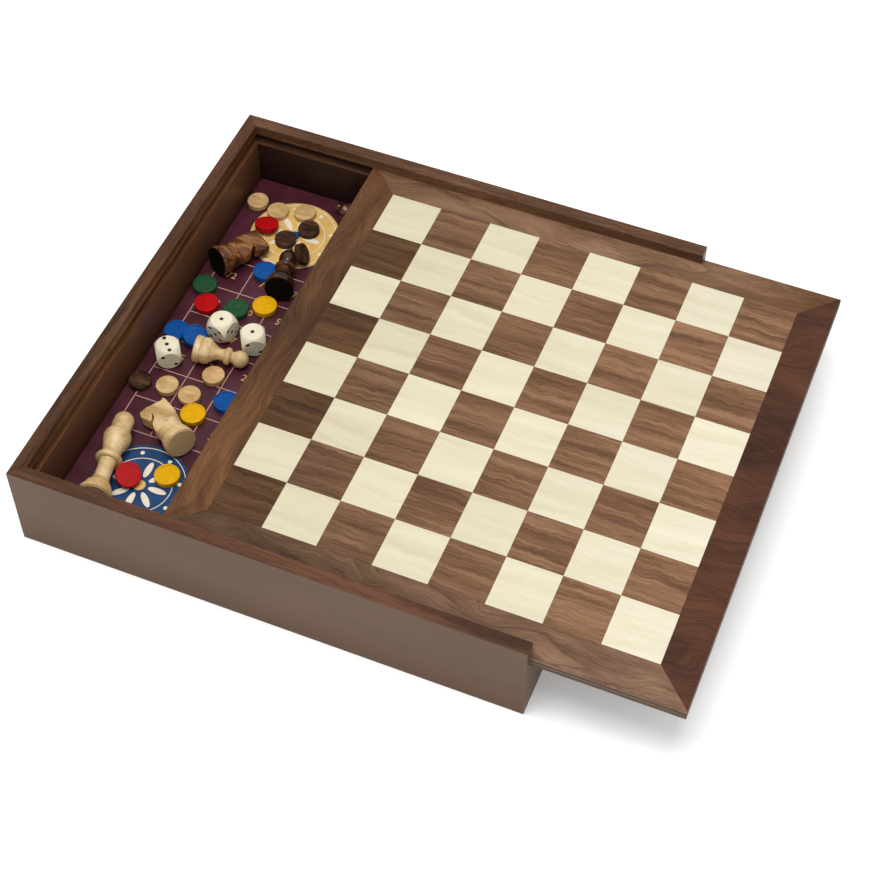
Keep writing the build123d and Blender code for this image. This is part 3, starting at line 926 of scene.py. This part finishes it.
@dataclass
class ChessboardLid:
    """The sliding lid: its core, its mitred border and its marquetry."""

    squares_a_side: int = 8
    walnut_spread: float = 0.07
    maple_spread: float = 0.035

    def __post_init__(self) -> None:
        """Read the lid's ends and the playing field's grid."""
        self.left, self.right = (corner.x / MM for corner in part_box("lid_core"))
        low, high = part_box("field_panel")
        side = (high.x - low.x) / self.squares_a_side / MM
        self.cells = Marquetry((low.x / MM, low.y / MM), side, self.walnut_spread)

    def dress_marquetry(self) -> list[str]:
        """Dress the light and the dark squares, each cut from another place in its veneer.

        Returns:
            The names of the pieces.
        """
        # Maple veneer: cream, nearly plain, with faint silky streaks under a satin lacquer
        Wood(
            "sliced_maple_veneer", 0.4, "#c3b99b", "#cac1a5", "#d0c8ad", "#a8956c",
            band_share=0.7, line_share=0.06, streak_share=0.25, pore_share=0.05, swirl_mm=3.0,
            cells=replace(self.cells, spread=self.maple_spread),
            # Painted light: the maple is painted paler and more washed out towards the right, standing in for
            # light and its reflection that grow stronger there
            fades=(Fade(self.left, self.right, first=0.89, last=1.08, wash=0.82),),
        ).dress(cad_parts["light_squares"])
        # Walnut veneer: mid brown with thin dark lines that ripple, and short open pores. It is painted paler
        # from one side to the other, standing in for light and its reflection that grow stronger towards the
        # right, and the first strip of squares is darker.
        first_strip = self.cells.corner_mm[0] + self.cells.side_mm
        Wood(
            "sliced_walnut_veneer", 0.4, "#553b29", "#6c4d36", "#806047", "#23150d",
            band_mm=(110.0, 6.0), line_mm=(120.0, 3.2), line_share=0.42, swirl_mm=1.1, cells=self.cells,
            fades=(
                Fade(self.left, self.right, first=0.76, last=1.34),
                Fade(first_strip + 0.5, first_strip - 0.5, first=1.0, last=0.6, wash=1.12),
            ),
        ).dress(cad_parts["dark_squares"])
        return ["light_squares", "dark_squares"]

    def dress_border(self) -> list[str]:
        """Dress the mitred border: a soft figure that swirls, with a few thin dark arcs.

        Returns:
            The names of the pieces.
        """
        left_fades = (
            Fade(105.0, 25.0, first=1.08, last=0.7, axis="Y"),
            Fade(15.0, -130.0, first=1.0, last=2.0, axis="Y"),
        )
        # Painted shade: the front strip darkens towards its left end, where the front lip shades it
        front_fades = (Fade(self.right, self.left, first=1.42, last=0.47, wash=1.15),)
        back_fades = (
            Fade(self.left, 170.0, first=0.92, last=1.02),
            Fade(170.0, 240.0, first=1.0, last=0.72, wash=1.15),
        )
        # The right strip's figure runs across it
        strips = {
            "border_left": (Grain.ALONG_Y, "#412716", "#54361f", "#69472a", 40.0, left_fades),
            "border_front": (Grain.ALONG_X, "#4e382a", "#644b3a", "#7a5f4c", 410.0, front_fades),
            "border_back": (Grain.ALONG_X, "#5e4431", "#745640", "#8a6b53", 820.0, back_fades),
            "border_right": (Grain.ALONG_X, "#361c12", "#492b1c", "#593523", 1230.0, ()),
        }
        for node, (grain, dark, mid, light, offset, fades) in strips.items():
            Wood(
                f"figured_walnut_{node}", 0.42, dark, mid, light, "#2a170e", grain=grain, offset_mm=offset,
                band_mm=(70.0, 14.0), band_share=0.6, line_mm=(170.0, 40.0), line_share=0.5, swirl_mm=8.0,
                swirl_patch_mm=(75.0, 40.0), ripple_mm=0.6, fades=fades,
            ).dress(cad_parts[node])
        return list(strips)

    def dress_core(self) -> list[str]:
        """Dress the boards that the veneers are glued to, and the veneer below them.

        Returns:
            The names of the pieces.
        """
        # Sanded plywood edge: dull brown plies with thin pale glue lines between them
        low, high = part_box("lid_core")
        plies = Plywood("sanded_ply_edge", 0.7, "#382a1f", "#5a4737", "#85705b", low.z / MM, high.z / MM)
        for node in ("lid_core", "field_panel"):
            plies.dress(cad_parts[node])
        # Backing veneer: very dark brown, plain and less polished than the top
        backing = Wood("dark_backing_veneer", 0.5, "#20120b", "#2f1c12", "#40291b", "#120a06")
        backing.dress(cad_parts["lid_backing"])
        return ["lid_core", "field_panel", "lid_backing"]

    def build(self) -> list[str]:
        """Dress the lid's pieces.

        Returns:
            The names of the pieces.
        """
        return [*self.dress_marquetry(), *self.dress_border(), *self.dress_core()]


# ---------------------------------------------------------------------------
# Game boards
# ---------------------------------------------------------------------------


def ink(name: str, deep: str, pale: str) -> Mottled:
    """Printing ink on coated paper: even, very slightly mottled, with a soft shine."""
    return Mottled(f"printed_{name}", 0.45, deep, pale, 9.0, 0.01, 0.6, specular=0.2)


@dataclass
class GameBoards:
    """The stacked game boards and the design that is printed on the top one."""

    margin: float = 9 * MM
    columns: int = 12
    rows: int = 6
    row_height: float = 26 * MM
    line_width: float = 0.55 * MM
    ink_thickness: float = 0.03 * MM
    number_height: float = 7.5 * MM
    slot: str = "printed_paper"
    roundel_radius: float = 31 * MM
    roundel_inset: tuple[float, float] = (5 * MM, 2 * MM)
    ring_shares: tuple[float, ...] = (0.94, 0.68)
    petals: int = 8
    petal_reach: float = 0.4
    petal_share: float = 0.2
    petal_stretch: float = 0.34
    dot_reach: float = 0.81
    dot_share: float = 0.045
    heart_share: float = 0.13

    def __post_init__(self) -> None:
        """Read the sheet's own corners, and work out the track's columns."""
        low, self.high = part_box("printed_sheet_upper")
        self.column_width = (self.high.x - low.x - 2 * self.margin) / self.columns
        self.half_width = self.columns * self.column_width / 2
        self.half_height = self.rows * self.row_height / 2

    def layer(self, level: int) -> float:
        """The middle height of one layer of ink over the sheet."""
        return self.high.z + self.ink_thickness * (level + 0.5)

    def roundels(self) -> list[tuple[Vector, bool]]:
        """Place the roundels in the sheet's corners.

        Returns:
            Each one's centre, and whether it is a blue one.
        """
        inset_x, inset_y = self.roundel_inset
        reach_x = self.high.x - self.margin - self.roundel_radius - inset_x
        reach_y = self.high.y - self.margin - self.roundel_radius - inset_y
        return [
            (Vector((-reach_x, reach_y, 0.0)), False),
            (Vector((reach_x, reach_y, 0.0)), True),
            (Vector((-reach_x, -reach_y, 0.0)), True),
            (Vector((reach_x, -reach_y, 0.0)), False),
        ]

    def build_track(self) -> bpy.types.Object:
        """Rule the track's lines.

        Returns:
            The lines, as one piece.
        """
        shape = bmesh.new()
        height = self.layer(1)
        along = Vector((2 * self.half_width, self.line_width, self.ink_thickness))
        across = Vector((self.line_width, 2 * self.half_height, self.ink_thickness))
        for row in range(self.rows + 1):
            add_plate(shape, Vector((0.0, row * self.row_height - self.half_height, height)), along)
        for column in range(self.columns + 1):
            add_plate(shape, Vector((column * self.column_width - self.half_width, 0.0, height)), across)
        rose = ink("rose", "#b58779", "#cda498")
        return finished_piece("board_track_lines", shape, rose, "box")

    def build_numbers(self) -> bpy.types.Object:
        """Print the track's numbers, which run to and fro, row by row.

        Returns:
            The numbers, as one piece.
        """
        shape = bmesh.new()
        for row in range(self.rows):
            for column in range(self.columns):
                step = column if row % 2 == 0 else self.columns - 1 - column
                text = bpy.data.curves.new("number", "FONT")
                text.body = str(row * self.columns + step + 1)
                text.size = self.number_height
                text.align_x = "CENTER"
                text.align_y = "CENTER"
                text.resolution_u = 2
                text.extrude = self.ink_thickness / 2
                holder = bpy.data.objects.new("number", text)
                flat = bpy.data.meshes.new_from_object(holder)
                centre = Vector((
                    (column + 0.5) * self.column_width - self.half_width,
                    (row + 0.5) * self.row_height - self.half_height,
                    self.layer(1),
                ))
                flat.transform(Matrix.Translation(centre))
                shape.from_mesh(flat)
                bpy.data.objects.remove(holder)
                bpy.data.curves.remove(text)
                bpy.data.meshes.remove(flat)
        gold = ink("gold", "#b98d55", "#cda368")
        return finished_piece("board_numbers", shape, gold, "box")

    def draw_roundel(
        self, centre: Vector, ground: bmesh.types.BMesh, heart: bmesh.types.BMesh, line: bmesh.types.BMesh
    ) -> None:
        """Draw one roundel: a coloured disc, two rings, and a rosette with dots round it.

        Args:
            centre: its centre.
            ground: the bmesh of its disc's ink.
            heart: the bmesh of the ink in its middle.
            line: the bmesh of the ink of its lines.
        """
        radius, thickness = self.roundel_radius, self.ink_thickness
        bottom, middle, top = (centre + Vector((0.0, 0.0, self.layer(level))) for level in range(3))
        add_disc(ground, bottom, radius, thickness, segments=96)
        for share in self.ring_shares:
            add_ring(line, middle, radius * share, self.line_width, thickness)
        for petal in range(self.petals):
            turn = petal * 2 * math.pi / self.petals
            between = turn + math.pi / self.petals
            out = Vector((math.cos(turn), math.sin(turn), 0.0)) * radius * self.petal_reach
            far = Vector((math.cos(between), math.sin(between), 0.0)) * radius * self.dot_reach
            add_disc(
                line, middle + out, radius * self.petal_share, thickness,
                stretch=self.petal_stretch, turn=turn, segments=20,
            )
            add_disc(line, middle + far, radius * self.dot_share, thickness, segments=16)
        add_disc(heart, top, radius * self.heart_share, thickness)

    def build_roundels(self) -> list[bpy.types.Object]:
        """Print the four corner roundels.

        Returns:
            One piece for each ink.
        """
        sand, blue, line = bmesh.new(), bmesh.new(), bmesh.new()
        for centre, is_blue in self.roundels():
            ground, heart = (blue, sand) if is_blue else (sand, blue)
            self.draw_roundel(centre, ground, heart, line)
        return [
            finished_piece("roundels_sand", sand, ink("sand", "#c99f55", "#deb970"), "box"),
            finished_piece("roundels_blue", blue, ink("blue", "#18345a", "#1f4672"), "box"),
            finished_piece("roundel_lines", line, ink("cream", "#d9cdb4", "#e9dfc9"), "box"),
        ]

    def build(self) -> list[str]:
        """Dress the boards and print the top one.

        Returns:
            The names of the pieces.
        """
        names = []
        # Dense greyboard: its cut edges are grey brown and slightly furry
        card = Mottled("dense_greyboard", 0.9, "#4d4237", "#62564a", 4.0, 0.06, 0.5)
        # Coated printed paper: deep green, navy or plum ink, slightly uneven, with a soft shine
        sheets = {
            "lower": ink("green", "#1d3d2b", "#27503a"),
            "middle": ink("navy", "#1c2846", "#263559"),
            "upper": Mottled("printed_plum", 0.42, "#36121b", "#4d1d2a", 14.0, 0.03, 1.2, specular=0.3),
        }
        for layer, sheet in sheets.items():
            card.dress(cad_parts[f"game_board_{layer}"])
            sheet.dress(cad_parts[f"printed_sheet_{layer}"])
            names += [f"game_board_{layer}", f"printed_sheet_{layer}"]
        pieces = [self.build_track(), self.build_numbers(), *self.build_roundels()]
        return names + [piece.name for piece in pieces]


# ---------------------------------------------------------------------------
# Games pieces
# ---------------------------------------------------------------------------


@dataclass
class ChessSet:
    """Both sets of chessmen and the felt under their feet."""

    kinds: tuple[str, ...] = ("king", "queen", "bishops", "knights", "rooks", "pawns")
    weld: float = 0.01 * MM
    carving_step: float = 0.55 * MM
    carving_passes: int = 24

    def carve_knights(self, finish: Finish) -> bpy.types.Object:
        """Carve the dark knights' edges soft: a copy of the plain shapes, remeshed and smoothed.

        Args:
            finish: the wood's finish.

        Returns:
            The carved knights.
        """
        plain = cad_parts["dark_knights"]
        shape = bmesh.new()
        shape.from_mesh(plain.data)
        bmesh.ops.remove_doubles(shape, verts=shape.verts, dist=self.weld)
        bmesh.ops.recalc_face_normals(shape, faces=shape.faces)
        knights = finished_piece("carved_dark_knights", shape, finish, "box")
        grid = knights.modifiers.new("carving_grid", "REMESH")
        grid.mode = "VOXEL"
        grid.voxel_size = self.carving_step
        grid.use_smooth_shade = True
        soft = knights.modifiers.new("carving_soft", "SMOOTH")
        soft.factor = 0.5
        soft.iterations = self.carving_passes
        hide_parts("dark_knights")
        return knights

    def build(self) -> list[str]:
        """Dress the chessmen and their pads.

        Returns:
            The names of the pieces.
        """
        # Boxwood: creamy yellow, close-grained, rubbed to a soft polish
        light = TurnedWood("turned_boxwood", 0.38, "#ad8a56", "#c2a370", "#d6bb8d", 9.0, 0.25)
        # Dark stained hardwood: near black, with warm brown bands under a rubbed polish
        dark = TurnedWood("dark_stained_hardwood", 0.3, "#1b0d07", "#3a1e0f", "#64391b", 7.0, 0.5, 0.1)
        for colour, finish in (("light", light), ("dark", dark)):
            for kind in self.kinds:
                finish.dress(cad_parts[f"{colour}_{kind}"])
        # The dark knights get a paler, warmer orange brown than the other dark men
        carved = self.carve_knights(
            TurnedWood("warm_stained_hardwood", 0.3, "#2a1508", "#5e3417", "#93602f", 7.0, 0.5, 0.1)
        )
        # Baize pads: dull and fuzzy, brown under the light men and black under the dark ones. The fibres
        # are drawn 0.4 mm wide, which is coarser than they are, so that they show.
        brown_felt = Mottled("brown_felt", 1.0, "#a08257", "#cda873", 0.7, 0.25, 0.4, nap=0.2)
        black_felt = Mottled("black_felt", 1.0, "#0a0504", "#140b08", 0.7, 0.25, 0.4, specular=0.05)
        brown_felt.dress(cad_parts["light_baize_pads"])
        black_felt.dress(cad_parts["dark_baize_pads"])
        names = [f"{colour}_{kind}" for colour in ("light", "dark") for kind in (*self.kinds, "baize_pads")]
        return [*names, carved.name]


@dataclass
class FlatMen:
    """Draughts of turned wood and moulded counters in four colours."""

    def build(self) -> list[str]:
        """Dress the draughts and the counters.

        Returns:
            The names of the pieces.
        """
        # Plain and stained beech: tan or dark brown, with fine flecks and a dry finish
        beech = TurnedWood("turned_beech", 0.5, "#ac8553", "#bc9763", "#c9aa79", 5.0, 0.05)
        stained = TurnedWood("dark_stained_beech", 0.5, "#23150e", "#392418", "#573a28", 5.0, 0.05, 0.1)
        beech.dress(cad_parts["light_draughts"])
        stained.dress(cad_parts["dark_draughts"])
        # Moulded polystyrene: even colour, with a fine grain and hardly any shine
        colours = {
            "red": ("#a00b10", "#b41014"),
            "yellow": ("#cb9506", "#dfa90b"),
            "green": ("#1d3f28", "#2b5537"),
            "blue": ("#0e417e", "#155298"),
        }
        for colour, (deep, pale) in colours.items():
            plastic = Mottled(
                f"moulded_{colour}_plastic", 0.42, deep, pale, 2.0, 0.05, 0.9, coat=0.02, specular=0.06
            )
            plastic.dress(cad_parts[f"{colour}_counters"])
        return ["light_draughts", "dark_draughts", *(f"{colour}_counters" for colour in colours)]


@dataclass
class Dice:
    """Three dice and their filled pips."""

    def build(self) -> list[str]:
        """Dress the dice.

        Returns:
            The names of the pieces.
        """
        # Tumbled ivory-coloured plastic: warm white, with a soft polish
        ivory = Mottled("ivory_plastic", 0.33, "#d3c9ac", "#e0d8be", 12.0, 0.02, 3.0, coat=0.3)
        # Pip paint: black, with a faint gloss
        black = Mottled("black_pip_paint", 0.4, "#0b0a0a", "#141212", 2.0, 0.01, 1.0)
        ivory.dress(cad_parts["dice"])
        black.dress(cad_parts["dice_pips"])
        return ["dice", "dice_pips"]


# ---------------------------------------------------------------------------
# Studio
# ---------------------------------------------------------------------------


@dataclass(frozen=True)
class Softbox:
    """A square studio light that is aimed at the box."""

    name: str
    place_mm: tuple[float, float, float]
    side_mm: float
    watts: float

    def hang(self, target: Vector) -> None:
        """Hang the light and aim it.

        Args:
            target: the spot that it points at.
        """
        lamp = bpy.data.lights.new(self.name, "AREA")
        lamp.size = self.side_mm * MM
        lamp.energy = self.watts
        holder = bpy.data.objects.new(self.name, lamp)
        holder.location = Vector(self.place_mm) * MM
        holder.rotation_euler = (target - holder.location).to_track_quat("-Z", "Y").to_euler()
        bpy.context.scene.collection.objects.link(holder)


@dataclass
class Studio:
    """A pale floor, soft light and the camera."""

    floor_side: float = 8.0
    table_glow: float = 0.17
    room_low: float = 1.35
    room_high: float = 0.62
    room_back: float = 0.85
    light_target_mm: tuple[float, float, float] = (50.0, 0.0, 50.0)
    camera_place_mm: tuple[float, float, float] = (323.94, -696.04, 976.48)
    camera_target_mm: tuple[float, float, float] = (57.12, -38.33, 57.9)
    camera_roll_degrees: float = 0.157
    lens: float = 79.15
    sensor_width: float = 36.0

    def build(self) -> None:
        """Set up the floor, the lights and the camera."""
        self.lay_floor()
        self.light()
        self.set_camera()
        bpy.context.scene.view_settings.view_transform = "Standard"

    def lay_floor(self) -> None:
        """A wide sheet of white acrylic, lit softly from below like a light table."""
        shape = bmesh.new()
        bmesh.ops.create_grid(shape, x_segments=1, y_segments=1, size=self.floor_side / 2)
        floor = mesh_object("studio_floor", shape)
        Mottled(
            "white_acrylic", 0.9, "#f4f4f3", "#f6f6f5", 400.0, 0.0, 10.0, specular=0.2, glow=self.table_glow
        ).dress(floor)

    def light(self) -> None:
        """A white room that is brightest near the floor, a large softbox overhead and a small hard lamp."""
        world = bpy.data.worlds.new("white_room")
        world.use_nodes = True
        tree = world.node_tree
        tree.nodes.clear()
        toward = add_node(tree, "ShaderNodeTexCoord").outputs["Generated"]
        part = add_node(tree, "ShaderNodeSeparateXYZ", {0: toward})
        upward = add_node(
            tree,
            "ShaderNodeMapRange",
            {
                "Value": part.outputs["Z"], "From Min": 0.15, "From Max": 0.6,
                "To Min": self.room_low, "To Max": self.room_high,
            },
            interpolation_type="SMOOTHSTEP",
        )
        backward = add_node(
            tree,
            "ShaderNodeMapRange",
            {"Value": part.outputs["Y"], "From Min": -0.3, "From Max": 0.5},
            interpolation_type="SMOOTHSTEP",
        )
        brightness = add_node(
            tree,
            "ShaderNodeMix",
            {0: backward.outputs[0], 2: upward.outputs[0], 3: self.room_back},
        )
        room = add_node(
            tree, "ShaderNodeBackground", {"Color": linear("#ffffff"), "Strength": brightness.outputs[0]}
        )
        add_node(tree, "ShaderNodeOutputWorld", {"Surface": room.outputs[0]})
        bpy.context.scene.world = world
        aim = Vector(self.light_target_mm) * MM
        Softbox("key_softbox", place_mm=(60.0, -260.0, 1600.0), side_mm=900.0, watts=17.0).hang(aim)
        Softbox("spark_lamp", place_mm=(-200.0, -300.0, 1500.0), side_mm=140.0, watts=1.3).hang(aim)

    def set_camera(self) -> None:
        """Stand the camera in front, to the right and above, and level it."""
        data = bpy.data.cameras.new("camera")
        data.lens = self.lens
        data.sensor_width = self.sensor_width
        camera = bpy.data.objects.new("camera", data)
        place = Vector(self.camera_place_mm) * MM
        aim = (Vector(self.camera_target_mm) * MM - place).to_track_quat("-Z", "Y")
        roll = Matrix.Rotation(math.radians(self.camera_roll_degrees), 4, "Z")
        camera.matrix_world = Matrix.Translation(place) @ aim.to_matrix().to_4x4() @ roll
        bpy.context.scene.collection.objects.link(camera)
        bpy.context.scene.camera = camera


def corners(box: Any) -> list[list[float]]:
    """Write a box as plain lists of numbers."""
    return [[float(value) for value in corner] for corner in box]


def main() -> None:
    """Build every part of the scene in order."""
    logging.basicConfig(level=logging.INFO, format="%(name)s: %(message)s")
    Studio().build()
    for part in (BoxCase(), ChessboardLid(), GameBoards(), ChessSet(), FlatMen(), Dice()):
        for name in part.build():
            LOG.info("%s: %s", type(part).__name__, name)


if __name__ == "__main__":
    main()
